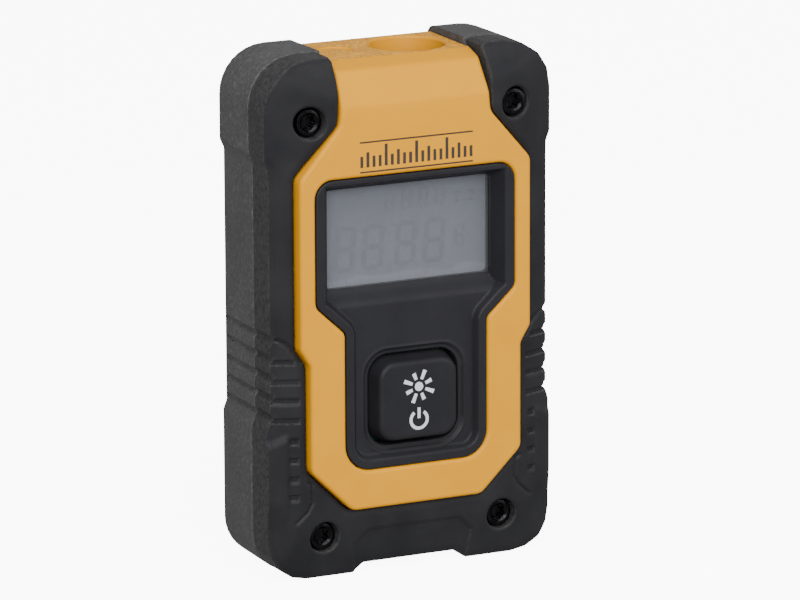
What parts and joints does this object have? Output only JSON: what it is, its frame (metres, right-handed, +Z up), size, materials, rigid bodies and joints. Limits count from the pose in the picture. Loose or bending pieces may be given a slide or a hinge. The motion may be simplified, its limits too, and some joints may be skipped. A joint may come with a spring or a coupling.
{
  "type": "laser distance meter",
  "caption": "Pocket laser distance meter: hard front shell in a rubber corner bumper, recessed display over one push button, laser and receiver ports in its top.",
  "frame": {"origin": "middle of the footprint, on the surface that the two feet stand on", "axes": "+Z up towards the optical ports, -Y out of the display, +X to the right seen from the display side"},
  "size_m": [0.0472, 0.0216, 0.0794],
  "materials": {
    "yellow_shell": "moulded ABS, fine grain, low sheen",
    "bumper_rubber": "matte overmoulded rubber, smooth front, grained sides",
    "rear_plastic": "spark-eroded texture",
    "gasket_rubber": "soft matte",
    "screw_steel": "blackened, shiny edges",
    "bezel_plastic": "satin black",
    "window_clear": "clear, polished",
    "lcd_glass": "grey-blue, faint segments",
    "light_guide": "frosted white",
    "button_rubber": "satin black",
    "switch_plastic": "matte black",
    "switch_stem": "satin",
    "board_laminate": "solder mask",
    "tinned_steel": "satin tin plate",
    "chip_resin": "matte epoxy",
    "cell_foil": "foil pouch",
    "foam": "open cell foam",
    "cover_rubber": "matte",
    "chassis_plastic": "matte black",
    "lens_glass": "coated, polished",
    "retainer_plastic": "matte black",
    "sensor_can": "satin",
    "barrel_brass": "turned brass",
    "diode_can": "gold plated"
  },
  "bodies": {
    "case": {"front_shell": "yellow_shell", "front_bumper": "bumper_rubber", "rear_shell": "rear_plastic", "perimeter_gasket": "gasket_rubber", "case_screw_1": "screw_steel", "case_screw_2": "screw_steel", "case_screw_3": "screw_steel", "case_screw_4": "screw_steel", "display_bezel": "bezel_plastic", "display_window": "window_clear", "lcd_panel": "lcd_glass", "lcd_backlight": "light_guide", "lcd_connector": "gasket_rubber", "tact_switch_body": "switch_plastic", "main_board": "board_laminate", "shield_can": "tinned_steel", "processor_chip": "chip_resin", "battery_cell": "cell_foil", "battery_foam": "foam", "charging_socket": "tinned_steel", "optics_chassis": "chassis_plastic", "receiver_lens": "lens_glass", "receiver_lens_retainer": "retainer_plastic", "receiver_board": "board_laminate", "receiver_sensor": "sensor_can", "laser_barrel": "barrel_brass", "collimator_lens": "lens_glass", "laser_diode": "diode_can", "emitter_window": "window_clear"},
    "button": {"measure_button": "button_rubber"},
    "switch_stem": {"tact_switch_stem": "switch_stem"},
    "port_cover": {"port_cover": "cover_rubber"}
  },
  "joints": [
    {"name": "button_press", "type": "slide", "parent": "case", "child": "button", "axis": [0, 1, 0], "range_m": [0, 0.0006], "stiffness_N_per_m": 600},
    {"name": "stem_travel", "type": "slide", "parent": "case", "child": "switch_stem", "axis": [0, 1, 0], "range_m": [0, 0.0006]},
    {"name": "cover_hinge", "type": "hinge", "parent": "case", "child": "port_cover", "pos_m": [0, 0.0052, 0.00075], "axis": [1, 0, 0], "range_deg": [0, 115]}
  ],
  "couplings": [
    {"joint": "stem_travel", "follows": "button_press", "ratio": 1}
  ]
}
